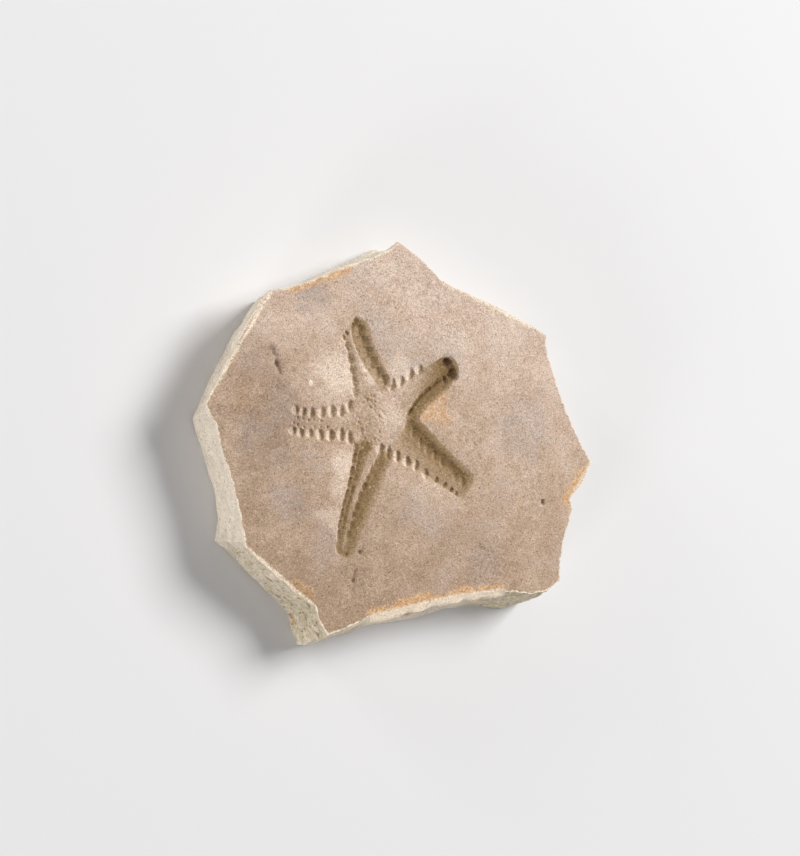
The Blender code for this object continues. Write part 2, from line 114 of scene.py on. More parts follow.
# Clockwise from the top one: bearing, reach, end, stations, lines and rows.
ARMS = (
    Arm(108.2, 26.6, 1.5, (7, 10, 13.5, 17, 20, 23, 25.5), (
        Line((6, 5, 4.6, 4.3, 4.1, 3.9, 1.2), 0, 0),
        Line((5.3, 4.3, 3.9, 3.6, 3.4, 3.2, 0.9), (0.2, 0.25, 0.3, 0.3, 0.3, 0.2, 0.1),
             (0.3, 0.35, 0.4, 0.4, 0.35, 0.3, 0.3)),
        Line((2.4, 2.1, 2.1, 2.3, 2.3, 2.1, 1.1), (0.3, 0.3, 0.3, 0.3, 0.25, 0.2, 0.15),
             (0.2, 0.25, 0.45, 0.45, 0.4, 0.3, 0.3)),
        Line((-1.2, -0.6, 0.9, 1.5, 1.8, 1.7, 0.8), (0.2, 0.15, 0.12, 0.1, 0.1, 0.1, 0.1),
             (0, 0, 0, 0, 0, 0.1, 0.4)),
        Line((-3, -2, -0.3, 0.7, 1, 0.9, 0.2), (0.6, 0.7, 0.8, 0.8, 0.75, 0.65, 0.5),
             (0.45, 0.5, 0.5, 0.5, 0.55, 0.6, 0.85)),
        Line((-4.5, -3.9, -2.9, -2, -1.8, -1.8, -1.2), (0.7, 0.75, 0.75, 0.7, 0.65, 0.55, 0.4),
             (0.5, 0.55, 0.6, 0.6, 0.65, 0.7, 0.85)),
        Line((-6.3, -5.8, -4.8, -4.2, -4, -4.1, -3.4), 0, 0.45),
    ), (
        Row(((8.6, 4.3), (11.2, 3.7), (14, 3.4), (17, 3.2), (19.9, 3)),
            (1.5, 1.4), (2.2, 1.8), (0.5, 0.4), (0.85, 0.75), 200),
        Row(((22.3, 3.5), (23.3, 2.4), (24.8, -0.4)), (0.9, 0.7), (0.9, 0.8), (0.5, 0.4), (0.7, 0.6), 200),
        Row(((9.1, -5.1), (11.3, -4), (14.2, -3), (17, -2.6), (19.8, -2.3), (22.6, -2.1)),
            (1.42, 1.38), (1.7, 1.6), (2.1, 2), (0.65, 0.6), 190, 4),
        Row(((25.2, -1.4),), (1.3, 1.3), (1.3, 1.3), (1, 1), (0.6, 0.6), 190, 1.3),
    )),
    Arm(37.2, 27, 2.6, (7, 10, 13, 17, 21, 24), (
        Line((7.6, 6.5, 5.5, 5, 4.1, 3.2), 0, 0),
        Line((5.6, 5, 4.5, 4.2, 3.4, 2.6), (0.2, 0.2, 0.2, 0.35, 0.5, 0.6), 0.05),
        Line((2.4, 2.2, 2, 2.2, 2.4, 2), (0.35, 0.4, 0.5, 0.8, 0.95, 1), (0.1, 0.15, 0.25, 0.45, 0.6, 0.85)),
        Line((-3, -2, -1.2, -1, -0.9, -0.5), (0.5, 0.6, 0.7, 0.85, 0.95, 1),
             (0.3, 0.35, 0.45, 0.6, 0.7, 0.95)),
        Line((-3.9, -2.8, -2.1, -2.1, -2, -1.6), (1.1, 1.25, 1.4, 1.45, 1.55, 1.6), 1),
        Line((-4.4, -3.3, -2.6, -2.6, -2.6, -2.4), (0.75, 0.8, 0.85, 0.9, 1, 1.3),
             (0.8, 0.8, 0.8, 0.8, 0.8, 0.95)),
        Line((-5.7, -4.6, -4, -4, -4, -3.4), (0.35, 0.4, 0.45, 0.5, 0.6, 0.9),
             (0.72, 0.72, 0.72, 0.72, 0.72, 0.75)),
        Line((-7.2, -5.9, -5.3, -5.3, -5.2, -4.2), 0, (0.45, 0.45, 0.45, 0.45, 0.4, 0.25)),
    ), (
        Row(((8.6, 4.5), (11.3, 3.9), (14.4, 3.6), (17.5, 3)),
            (1.7, 1.5), (1.1, 0.95), (2, 2.1), (0.8, 0.7), 168),
        Row(((8.1, -3.4), (10.8, -2.4), (13.4, -1.9), (15.9, -2.1), (19.2, -2.1)),
            (1.4, 1.4), (0.8, 0.8), (0.6, 0.6), (0.6, 0.6), 127),
        Row(((25, 0.1), (24.3, -2.9)), (1.5, 1.6), (2, 1.5), (0.4, 0.4), (1.2, 1.1), 150, 2.5),
        Row(((21.9, -3),), (0.9, 0.9), (1.1, 1.1), (0.4, 0.4), (0.85, 0.85), 160),
    )),
    Arm(-32, 30.9, 4, (6.5, 10, 14, 18, 23, 27.5), (
        Line((7.8, 6.3, 5.8, 4.9, 4.5, 4), 0, (0.5, 0.55, 0.55, 0.5, 0.45, 0.4)),
        Line((4.8, 3.7, 3.2, 2.4, 2, 1.6), (1.1, 1.25, 1.3, 1.3, 1.25, 1.1),
             (0.9, 0.92, 0.92, 0.9, 0.88, 0.85)),
        Line((2, 1, 0.4, 0, -0.2, -0.4), (0.75, 0.9, 1, 1.05, 1.05, 1),
             (0.55, 0.58, 0.58, 0.58, 0.58, 0.55)),
        Line((-3.2, -2.6, -2, -1.8, -1.8, -1.8), (0.45, 0.55, 0.65, 0.75, 0.85, 0.9),
             (0.3, 0.38, 0.42, 0.48, 0.5, 0.5)),
        Line((-5.8, -5.2, -4.4, -4, -3.7, -3.5), (0.25, 0.3, 0.4, 0.5, 0.6, 0.6),
             (0.1, 0.12, 0.25, 0.42, 0.5, 0.5)),
        Line((-7.4, -6.4, -5.3, -4.8, -4.5, -4.2), 0, (0, 0, 0, 0.1, 0.15, 0.2)),
    ), (
        Row(((4.6, -5.6), (6.8, -5.2), (9.4, -4.6), (12.4, -4.1), (15.2, -3.7), (18.5, -3.7)),
            (1.6, 1.5), (1.2, 1), (1.7, 1.5), (0.85, 0.75), 172),
        Row(((21.7, -3.5), (24.5, -3.4), (26.8, -3.4), (28.5, -3.4)),
            (1, 0.8), (0.9, 0.7), (0.5, 0.4), (0.8, 0.7), 150),
        Row(((7.4, 3.6), (10.3, 3.1), (13.5, 2), (16.1, 1.9), (18.8, 1.7), (21.3, 1.4), (26.5, 0.4),
            (28.8, 0.6)), (1.6, 1.2), (1.3, 1), (1.4, 1.2), (0.45, 0.4), 175),
    )),
    Arm(-106.8, 35.8, 2.3, (7.5, 11, 15, 19.5, 24, 28, 32), (
        Line((6.4, 5.3, 4.9, 4.4, 3.7, 3, 2.6), 0, (0.35, 0.35, 0.35, 0.35, 0.35, 0.3, 0.3)),
        Line((3.7, 3, 2.3, 1.6, 1.2, 1, 1), (0.9, 0.95, 1, 1, 0.95, 0.85, 0.7),
             (0.75, 0.75, 0.75, 0.75, 0.75, 0.7, 0.7)),
        Line((2.9, 2, 1.2, 0.6, 0.3, 0.2, 0.3), (0.85, 0.9, 0.95, 0.95, 0.9, 0.8, 0.7),
             (0.6, 0.65, 0.7, 0.7, 0.7, 0.7, 0.65)),
        Line((0.7, 0.1, -0.7, -1.3, -1.5, -1.4, -1.1), (0.15, 0.15, 0.25, 0.35, 0.4, 0.45, 0.45),
             (0.05, 0.05, 0.15, 0.3, 0.4, 0.4, 0.4)),
        Line((-2, -2, -2.3, -2.6, -2.6, -2.4, -1.9), (0.45, 0.5, 0.55, 0.6, 0.6, 0.55, 0.5), 0.7),
        Line((-4.8, -4.5, -4.2, -4, -3.9, -3.7, -2.9), (0.3, 0.35, 0.4, 0.4, 0.4, 0.4, 0.35), 0.6),
        Line((-5.8, -5.2, -4.9, -4.6, -4.5, -4.3, -3.5), 0, 0.05),
    ), (
        Row(((9, -4.7), (11.3, -3.9), (14.5, -3.7), (17.4, -3.6), (20.3, -3.5), (22.7, -3.5), (25.4, -3.5),
            (28.1, -3.3), (30.6, -2.9)), (1.45, 1.25), (1.6, 1.3), (0.4, 0.4), (0.75, 0.55), 163, 3),
        Row(((10.2, -2.9), (12.9, -2.6), (15.8, -2.5), (18.8, -2.4), (21.5, -2.4), (24.1, -2.4), (26.8, -2.3),
            (29.4, -2)), (1.25, 1.05), (1.2, 0.9), (0.5, 0.4), (0.5, 0.35), 163, 3),
        Row(((17, 0.9), (19.8, 0.3), (22.4, 0.2), (24.8, 0), (27.3, 0.2), (29.7, 0)),
            (1.3, 1.2), (1.5, 1.3), (0.6, 0.6), (0.8, 0.7), 163),
        Row(((10.1, 2.1), (12.4, 1.4), (14.8, 0.9)), (1.4, 1.3), (1.2, 1.2), (0.5, 0.5), (0.5, 0.6), 163),
        Row(((8.8, 2.8),), (1.2, 1.2), (1.4, 1.4), (0.8, 0.8), (0.6, 0.6), 163),
    )),
    Arm(-177.6, 25.8, 2.6, (7, 10, 14, 17, 21, 24), (
        Line((7, 5.7, 5.2, 4.9, 4.3, 3.6), 0, 0),
        Line((5, 4.2, 3.7, 3.4, 2.9, 2.4), (0.2, 0.2, 0.15, 0.12, 0.1, 0.05), 0),
        Line((2.6, 2.2, 2.1, 2, 1.6, 1.4), (0.35, 0.35, 0.35, 0.3, 0.25, 0.15), 0.15),
        Line((0, 0.3, 0.5, 0.5, 0.2, 0), (0.3, 0.3, 0.3, 0.25, 0.2, 0.12), 0.15),
        Line((-2.3, -1.8, -1.2, -0.8, -0.9, -1.2), (0.35, 0.35, 0.35, 0.3, 0.25, 0.15), 0.15),
        Line((-4.6, -3.7, -2.9, -2.5, -2.6, -2.7), (0.2, 0.2, 0.15, 0.12, 0.1, 0.05), 0),
        Line((-6.2, -5, -4.4, -4, -3.9, -4), 0, 0),
    ), (
        Row(((8.2, 4.2), (10.5, 3.5), (13.5, 3.6), (16.5, 3.3), (19.3, 3), (21.8, 2.7), (23.9, 2.3)),
            (1.9, 1.05), (1.6, 0.75), (1.5, 1.9), (0.85, 0.62), 180),
        Row(((7.8, -3.5), (10.2, -2.4), (12.9, -2.4), (15.6, -2.1), (18.7, -2), (21, -2.2), (23, -2.7)),
            (1.75, 1.15), (1.6, 0.75), (1.5, 1.9), (0.85, 0.62), 180),
        Row(((16.7, -0.2), (18.6, -0.4), (20.1, -0.3), (21.6, -0.8), (23.1, -0.8)),
            (0.5, 0.5), (0.5, 0.5), (0.4, 0.4), (0.4, 0.4), 180),
        Row(((14.9, 1.6), (16.7, 1.3), (18.6, 1.3), (21.4, 1.4), (23.1, 0.9), (24.2, 0.4)),
            (0.5, 0.5), (0.5, 0.5), (0.4, 0.4), (0.4, 0.4), 180),
    )),
)
SOCKET_VARIES = 0.1  # the sockets' sizes vary by this share, and their bearings by this many degrees
SOCKET_LEANS = 7.0
ROWS_FROM = 5.4  # an arm's trough fades in between these distances along it
ROWS_FULL = 8.0
DISC_DEPTH = 0.3  # the disc's domed floor at its middle
DISC_DOME = 0.45  # and how much deeper it is at its radius
DISC_RADIUS = 7.0
DISC_EDGE = 9.6
DISC_RIM = 1.0  # how far inside its edge the rim lies
LIP_WIDTH = 4.0  # the rounded ground outside the mould's rim
LIP_DROP = 0.4

# The finer relief. Each thing that varies by itself has its own layer of the noise.
WARP_SIZE = 2.6  # the mould's outlines waver in swells of this size, by this much
WARP = 0.16
WARP_LAYER = 20.0
GRIT = ((1.3, 0.05), (0.6, 0.035))  # size and height of the face's roughness
GRIT_LAYER = 30.0
ROUGHER = 1.2  # how much rougher it is deep in the mould
ROUGHER_BELOW = (0.4, 1.2)
GRANULE = 1.0  # the size and depth of the granules' prints in the mould
GRANULE_DEPTH = 0.52
GRANULE_STEEP = 1.6
GRANULE_RIM = 1.5  # they fade this near the rim, in sockets this deep,
GRANULE_SOCKET = 0.25
GRANULE_FADE = 6.0  # and this far past the disc, by this share
GRANULE_LOSS = 0.75
GRANULE_LEAST = 0.35  # what is left of them where they are worn, and right of this stretch
GRANULE_CLEAR = (0.0, -9.0)
GRANULE_PATCHY = 0.35
GRANULE_LAYER = 40.0
MARK_ROUNDING = 1.5
WALL_GRIT = ((3.0, 0.22, 1.6), (1.3, 0.1, 1.6), (0.6, 0.05, 1.0))  # the wall's: size, height and layering
FOOT_BLEND = 0.05  # shares of the wall's height where roughness and wear begin and end
GRIT_UNTIL = 0.95
WEAR_UNTIL = 0.93
WEAR_VARIES = 0.5
WEAR_SIZE = 3.0
WEAR_LAYER = 5.0
RIM_RAGGED = (0.18, 60.0, 1.6)  # amount, layer and size of the rim's waves,
RIM_BITES = (0.35, 70.0, 5.0)  # and of the bites out of it

# Grooves in the bedding face: their ends, half their width and their depth, which is negative for a bump.
MARKS = (
    ((-38.3, 21.9), (-37.9, 21.2), 1.3, 0.45), ((-37.2, 20.4), (-36.6, 18.2), 0.9, 0.5),
    ((-36.6, 18.2), (-35.7, 16), 1, 0.7), ((-36.2, 14.4), (-36.7, 11.8), 0.8, 0.45),
    ((-35.2, 15.3), (-33.4, 16.2), 0.7, 0.3), ((-32.6, 16.6), (-32.2, 16.8), 0.7, 0.45),
    ((-13.1, -27.4), (-13.4, -27.2), 0.9, 0.6), ((-17, -27.8), (-17.2, -28.1), 0.6, 0.4),
    ((-14.7, -31.8), (-15.3, -34.2), 0.75, 0.55), ((-15.3, -34.2), (-15.9, -37.6), 0.6, 0.3),
    ((40.6, -13.7), (40.6, -14.3), 0.6, 0.9), ((21.8, -25.8), (22.1, -26.1), 0.7, 0.45),
    ((21.6, 1.2), (19.9, 0.3), 0.5, 0.3), ((19.9, 0.3), (19.2, -1.7), 0.5, 0.3),
    ((3, -29.8), (3.8, -29.6), 1.2, -0.3), ((-38, -24.9), (-35.4, -24.1), 0.4, 0.12),
    ((-31.5, -33.7), (-29.2, -33.3), 0.4, 0.12), ((25.4, -24.8), (28.2, -23.9), 0.4, 0.12),
    ((31.2, -21.4), (33.9, -20.2), 0.4, 0.12), ((-27.5, 14.3), (-27.3, 13.7), 0.5, -0.2),
    ((-31.6, -36.4), (-28.2, -38.9), 1.7, 0.35),
)

# Holes in the broken wall: a place on it, half their length along it, half their height, and their depth.
WALL_HOLES = (
    (-34.8, -34.3, 6.9, 1.1, 0.7, 0.9), (-30.2, -38.2, 2.6, 0.9, 0.55, 0.6),
    (-28.6, -39.4, 3.6, 1, 0.5, 0.6), (-26.2, -40.8, 10.2, 0.75, 0.5, 0.7),
    (-25.3, -43.2, 7, 1, 0.6, 0.7), (-23.4, -46.9, 11.2, 1.1, 0.5, 0.5),
)

# The colours' places on the face. A stretch has two ends, half its width and its strength, and a round
# patch has its middle, its radius and its strength.
# Stretches of rust along the broken edges.
RUST = (
    ((-33, 36.6), (-17.1, 42.4), 1.5, 0.9), ((-10.2, -42), (-3, -41), 1.5, 0.8),
    ((-2, -40.6), (6, -39), 2.5, 0.9), ((6, -39), (13, -38), 1.4, 0.75),
    ((13.5, -38), (19, -37.3), 2.4, 0.85), ((19, -37.3), (27.3, -36.4), 1.7, 0.8),
    ((53.2, -6.2), (48.4, -13.2), 2.1, 0.8), ((-49.9, 16.9), (-47.8, 20.6), 0.8, 0.5),
)
# Stretches of the rim worn pale, partly painted highlight along the edges that catch the light, and last a
# small white scar left of the first arm.
WORN_AND_LIT_RIM = (
    ((10.5, 41.2), (41.9, 29.5), 0.75, 1), ((42, 26.6), (55.9, -3.6), 0.55, 0.9),
    ((55.9, -3.6), (49.6, -12.9), 0.8, 0.6), ((-38.2, 35.8), (-55.9, 7.6), 0.55, 1),
    ((-55.9, 7.6), (-44.9, -26.1), 0.45, 0.9), ((-44.9, -26.1), (-25.9, -40.4), 0.5, 0.95),
    ((-17.1, 43), (-2.5, 50.2), 0.5, 0.7), ((-27.5, 14.3), (-27.3, 13.7), 0.55, 1),
)
# Soft patches of rust: between the second and third arms, inside the upper left edge, and in the hollow
# at the lower left edge.
SOFT_RUST = (
    (8.6, 9.2, 6.2, 0.6), (6.3, 8.4, 3.6, 0.75), (-22, 41, 4, 0.3),
    (-43, 9, 8, 0.2), (-31, -36.6, 2.8, 0.8), (-28.4, -37.8, 3.2, 0.85),
)
# Grimy patches of the wall.
WALL_GRIME = (
    (-30, -38.5, 10, 0.6), (-24, -45, 6, 0.7), (-40, -30, 7, 0.5),
    (-14, -47, 8, 0.35), (34, -40.5, 14, 0.8),
)
# Rust spots on the wall: a place on it, and a radius.
WALL_RUST = ((-47.1, 16.4, 1, 1.6), (5.5, -42.7, 5.6, 2), (-25.5, -44, 1, 2.2))
# Brown over the left of the face, partly the stone's colour and partly painted shade where the light falls
# off, and the last four painted shade in the holes at the end of the second arm.
SHADE_AND_BROWN_PATCHES = (
    (-40, 4, 16, 0.28), (-42, 15, 12, 0.22), (-42.6, 5.9, 3.2, 0.4),
    (-38.1, 21.6, 2.2, 0.35), (-50, 6.5, 4, 0.2), (-44.5, -6, 5, 0.2),
    (12.8, 20.7, 1.6, 0.75), (14.4, 17.4, 1.6, 0.8), (13.6, 19.2, 1.6, 0.45),
    (11.9, 15.9, 1.4, 0.4),
)
# Lilac grey clouds.
GREY = (
    (-27.2, 35.8, 7, 0.7), (-36, 7.5, 8, 0.35), (-33.5, -15, 8, 0.5),
    (2, -16, 7, 0.5), (22, -30, 9, 0.35), (35, 5, 12, 0.45),
)
# The mould's brown stain also lies on the disc, and in the hollow at the lower left edge.
STAINED = (
    (-11.5, 4.6, 4.6, 0.3), (-9.8, 10.6, 3, 0.35), (-11, 0.2, 3.2, 0.35),
    (-5, -1.5, 2.4, 0.2), (-31, -36.6, 2.8, 0.4), (-28.4, -37.8, 3.2, 0.4),
)
# Ground rubbed pale, and painted highlight where the ground faces the light: on the right of the disc, on the
# shoulders left of the first and fourth arms, and along the first arm's band. The first patch is round the
# white scar.
PALE_AND_LIT = (
    (-27.2, 14, 1, 1), (-4, 6.5, 5.5, 0.5), (-20, 16, 8.5, 0.9),
    (-18.3, -5.5, 5.5, 0.85), (-12.4, 18.2, 2.2, 0.9), (-10.2, 15.6, 2.4, 0.9),
    (-19.3, -12, 5.5, 0.6), (-21, -19, 5, 0.5), (-2, 17.5, 6, 0.6),
    (6, -12, 7, 0.35), (14, 24, 9, 0.3),
)
# The waves in the edges of stretches and of patches: amount, layer and size.
STRETCH_RAGGED = ((0.35, 90.0, 1.6), (0.25, 95.0, 0.8))
PATCH_RAGGED = ((0.35, 80.0, 4.0), (0.2, 85.0, 1.5))
# The shares of their width or radius that are at full strength.
STRETCH_CORE = 0.55
PATCH_CORE = 0.3
GRIME_CORE = 0.5

# The stone's colours, as 8-bit sRGB.
SKIN_BROWN = (162, 137, 115)
SKIN_TAN = (182, 157, 136)
SKIN_PINK = (201, 179, 163)
SKIN_PALE = (215, 196, 180)
SKIN_GREY = (163, 150, 144)
RUBBED_AND_LIT = (226, 207, 190)
HOLLOW = (154, 128, 92)
HOLLOW_DEEP = (116, 91, 58)
RUSTY = (202, 159, 116)
RUSTY_DEEP = (187, 139, 96)
RUSTY_PALE = (216, 186, 148)
FRESH_CREAM = (224, 212, 194)
FRESH_GREY = (207, 195, 180)
FRESH_WHITE_AND_HIGHLIGHT = (231, 214, 193)
GRIMY = (172, 158, 122)
SHADE_AND_SPECK_BROWN = (78, 57, 37)

# The skin grows paler towards this bearing, over this reach to each side of the middle: partly its own colour
# and partly painted light that falls off towards the lower left.
PALE_TOWARD = 72.0
PALE_REACH = 50.0
PALE_RANGE = 0.66

# What the stone's colours follow, point by point, painted shade and painted highlight among them.
LOOKS = ("inset", "paleness_and_light", "hollow", "rubbed_and_lit", "chip_and_highlight", "rust", "shade_and_brown", "grey", "grime")

# Painted shade: the slopes of the mould that climb towards +X, away from the key lamp, are darkened with the
# stain's brown, and painted highlight makes those that drop paler.
CLIMB_SHADE = 0.6
CLIMB_SLOPES = (0.15, 0.6)
SHADE_OVER_STAIN = 0.4  # the share of the painted shade that shows on stained ground
DROP_HIGHLIGHT = 0.8
DROP_SLOPES = (0.1, 0.45)
DROP_STAINS = (0.2, 0.5)  # none is pale on ground more stained than this
DROP_PLAIN = 0.35  # the share of that painted highlight outside the sockets
DROP_LIGHTENS = 0.25  # painted highlight: the stain that they lose at least in the sockets
STAIN_STEP = 0.3  # slopes are taken over this distance to each side
MOULD_BEGINS = (0.05, 0.3)  # depths at which the mould and the sockets begin to count
SOCKET_BEGINS = (0.0, 0.15)
MARK_DEPTHS = (0.15, 0.7)  # painted shade darkens grooves and holes between these depths
MARK_SHADE = 0.3
CHIP_REACH = (0.2, 0.7)  # where the chip's white ends inside the rim,
CHIP_FROM = 13.2  # and above the underside
CHIP_RISE = 0.6
# Depths of the wall's holes over which painted shade darkens them.
HOLE_SHADE = (0.03, 0.25)
INSET_MOST = 6.0

# The grain of the sand, and the sizes of what varies its colour.
GRAIN = 0.34
SPECK = 0.38
SPLASH = 1.5
CLOUD = 8.0
STREAK = 4.0
DIRT = 1.6
SOIL = 0.9
NOISE_SPAN = (0.3, 0.7)  # most of a noise lies between these values

# How those show in the colours and the surface.
CLOUD_TINT = 0.22  # how much clouds and splashes pale the skin
SPLASH_TINT = 0.14
RUBBED_AND_LIT_MOST = 0.8
STAIN_VARIES = (-0.1, 0.1)
STAIN_FULL = 0.8  # a stain this strong covers the skin
EDGE_VARIES = (-0.2, 0.2)  # how far the skin's edge wavers
SKIN_BEGINS = (0.05, 0.35)  # distances inside the rim, to the skin
BRUISE_AND_HIGHLIGHT_BEGINS = (-0.35, -0.05)  # and to the bruised white edge, partly a painted highlight
BRUISE_AND_HIGHLIGHT_ENDS = (0.1, 0.4, 0.6, 0.0)
GRAIN_SHADES = (0.76, 1.19)
SPECK_SHADES = (-0.1, 0.1)
GRAIN_SHOWS = (-0.5, 0.2, 0.6, 1.0)  # less on the walls
WHITE_SPECKS = (0.985, 0.99, 0.0, 0.22)
BROWN_SPECKS = (0.02, 0.03, 0.3, 0.0)
ROUGHNESS = (0.98, 0.86)
SPECULAR = 0.3
SPLASH_RELIEF = 0.09
GRAIN_RELIEF = 0.07

# The mesh.
FINE_LATTICE = 0.245  # on the star
FACE_LATTICE = 0.52
UNDERSIDE_LATTICE = 1.3
LATTICE_SHAKE = 0.08  # shares of a lattice's step: shaken at random,
LATTICE_JOIN = 0.3  # kept from the fine lattice,
LATTICE_CLEAR = 0.6  # and kept from the rim
AT_ONCE = 2000  # points whose distances are taken at one time
RIM_STEP = 0.5
NORMAL_REACH = 3  # points to each side that the rim's normals are taken over
FINE_MARGIN = 1.5  # the fine lattice's, past the mould's rim
WALL_COUNT = 30  # rings of points up the wall
WALL_CROWDING = 1.25  # over 1 sets them closer together near its top
SHARP_ANGLE = 50.0

# The floor, in metres, and its colour.
FLOOR_HALF = 3.0
PAPER = (0.70, 0.70, 0.715, 1.0)
PAPER_ROUGHNESS = 0.9

# The light: white from all round, and soft square lamps.
WORLD_WHITE = (1.0, 1.0, 1.0, 1.0)
WORLD_STRENGTH = 0.26
# Bearing and height in degrees, distance and size in metres, watts, and colour.
LAMPS = {
    "key": (34.0, 42.0, 2.0, 1.0, 51.5, (1.0, 0.985, 0.96)),
    "left_fill": (143.0, 9.0, 0.9, 0.25, 2.6, (1.0, 0.99, 0.98)),
    "front_fill": (226.0, 11.0, 0.9, 0.25, 3.4, (1.0, 0.99, 0.98)),
}

# The camera: its tilt from straight above towards its bearing, and its distance from where it aims.
LENS = 100.0
SENSOR = 36.0
TILT = 31.0
CAMERA_AZIMUTH = 187.0
CAMERA_DISTANCE = 590.0
AIM = (-2.25, 3.65, 14.5)


def smooth(start, end, value):
    """A smooth rise from 0 at start to 1 at end."""
    share = np.clip((value - start) / (end - start), 0.0, 1.0)
    return share * share * (3.0 - 2.0 * share)


def waves(x, y, z, size):
    """Smooth noise between about -1 and 1 whose swells are about size across."""
    places = np.column_stack([np.ravel(x), np.ravel(y), np.broadcast_to(z, np.shape(x)).ravel()]) / size
    return np.array([noise.noise(Vector(place)) for place in places])


def arm_place(arm, x, y):
    """How far a point lies out along the arm, and how far to the left of its axis."""
    turn = radians(arm.bearing)
    east = x - STAR_CENTRE[0]
    north = y - STAR_CENTRE[1]
    return east * cos(turn) + north * sin(turn), north * cos(turn) - east * sin(turn)


def arm_middle(arm, along):
    """The middle and the half width of the arm between its rims."""
    left = np.interp(along, arm.stations, arm.lines[0].across)
    right = np.interp(along, arm.stations, arm.lines[-1].across)
    return 0.5 * (left + right), 0.5 * (left - right)


def wrapped(arm, along, across):
    """The place as a distance from the arm's middle, wrapped round its end, and the half width."""
    _, end_half = arm_middle(arm, arm.stations[-1])
    round_end = arm.reach - end_half
    middle, half = arm_middle(arm, np.minimum(along, round_end))
    past_end = np.maximum(along - round_end, 0.0)
    off = (np.abs(across - middle) ** arm.end + past_end**arm.end) ** (1.0 / arm.end)
    return middle, half, off


def section(arm, along, across):
    """Depth and stain of the arm's cross-section."""
    def here_of(values):
        return np.interp(along, arm.stations, np.broadcast_to(values, len(arm.stations)))

    depth = np.zeros_like(across)
    stain = np.zeros_like(across)
    for line, following in zip(arm.lines, arm.lines[1:]):
        start, end = here_of(line.across), here_of(following.across)
        high, low = here_of(line.depth), here_of(following.depth)
        clean, stained = here_of(line.stain), here_of(following.stain)
        between = (across <= start) & (across >= end)
        share = smooth(0.0, 1.0, (start - across) / (start - end))
        depth = np.where(between, high + (low - high) * share, depth)
        stain = np.where(between, clean + (stained - clean) * share, stain)
    return np.stack([depth, stain])


def trough(arm, x, y):
    """Depth and stain of the arm's trough without its sockets, and how far outside its rim a point lies."""
    along, across = arm_place(arm, x, y)
    middle, half, off = wrapped(arm, along, across)
    toward = np.clip((across - middle) / np.maximum(off, 1e-6), -1.0, 1.0)
    left = section(arm, along, middle + off)
    right = section(arm, along, middle - off)
    depth, stain = (right + (left - right) * (0.5 + 0.5 * toward)) * smooth(ROWS_FROM, ROWS_FULL, along)
    return depth, stain, off - half + np.maximum(-along, 0.0)


def keeled(cut, run, keel, corners):
    """1 along the keel of a boat-shaped hollow with plane sides, and 0 at the edge of the unit oval."""
    room = np.clip(1.0 - np.abs(run) ** corners, 1e-9, 1.0) ** (1.0 / corners)
    place = cut / room
    side = np.where(place < keel, (1.0 + place) / (1.0 + keel), (1.0 - place) / (1.0 - keel))
    return room * np.clip(side, 0.0, 1.0) * (np.abs(run) < 1.0)


def sockets(arm, x, y, rng):
    """How much deeper the arm's sockets are than its trough."""
    along, across = arm_place(arm, x, y)
    deeper = np.zeros_like(x)
    for row in arm.rows:
        for place, share in zip(row.places, np.linspace(0.0, 1.0, len(row.places))):
            size = 1.0 + rng.uniform(-SOCKET_VARIES, SOCKET_VARIES, 4)
            length, climb, drop, depth = (
                (first + (last - first) * share) * scale
                for (first, last), scale in zip((row.length, row.climb, row.drop, row.depth), size)
            )
            turn = radians(row.facing - arm.bearing + rng.uniform(-SOCKET_LEANS, SOCKET_LEANS))
            out = along - place[0]
            off = across - place[1]
            half = 0.5 * (climb + drop)
            cut = (out * cos(turn) + off * sin(turn) - 0.5 * drop) / half
            run = (off * cos(turn) - out * sin(turn)) / length
            hollow = depth * keeled(cut, run, 0.5 * (climb - drop) / half, row.corners)
            deeper = np.maximum(deeper, hollow)
    return deeper


class Mould(NamedTuple):
    """The starfish's mould at each point."""

    depth: np.ndarray  # below the bedding face
    outside: np.ndarray  # how far outside the rim, negative inside
    pits: np.ndarray  # how much of the depth is the sockets'
    stain: np.ndarray  # from 0 to 1


def outside_mould(x, y):
    """How far outside the mould's rim a point lies, negative inside."""
    outside = np.hypot(x - STAR_CENTRE[0], y - STAR_CENTRE[1]) - DISC_EDGE + DISC_RIM
    for arm in ARMS:
        outside = np.minimum(outside, trough(arm, x, y)[2])
    return outside


def mould(x, y):
    """The starfish's mould, its outlines a little wavering."""
    rng = np.random.default_rng(SEED)
    x, y = x + WARP * waves(x, y, 0.0, WARP_SIZE), y + WARP * waves(x, y, WARP_LAYER, WARP_SIZE)
    radius = np.hypot(x - STAR_CENTRE[0], y - STAR_CENTRE[1])
    depth = DISC_DEPTH + DISC_DOME * (radius / DISC_RADIUS) ** 2
    depth = depth * (1.0 - smooth(DISC_RADIUS, DISC_EDGE, radius))
    stain = np.zeros_like(x)
    outside = radius - DISC_EDGE + DISC_RIM
    pits = np.zeros_like(x)
    for arm in ARMS:
        arm_depth, arm_stain, arm_outside = trough(arm, x, y)
        depth = np.maximum(depth, arm_depth)
        stain = np.maximum(stain, arm_stain)
        outside = np.minimum(outside, arm_outside)
        pits = np.maximum(pits, sockets(arm, x, y, rng))
    lip = LIP_DROP * np.clip(1.0 - outside / LIP_WIDTH, 0.0, 1.0) ** 2
    depth = depth + lip * (1.0 - smooth(0.0, 1.0, depth))
    share = granule_share(x, y, radius, outside, pits)
    granules = GRANULE_DEPTH * share * granule_prints(x, y, share > 0.0)
    return Mould(depth + pits + granules, outside, pits, stain)


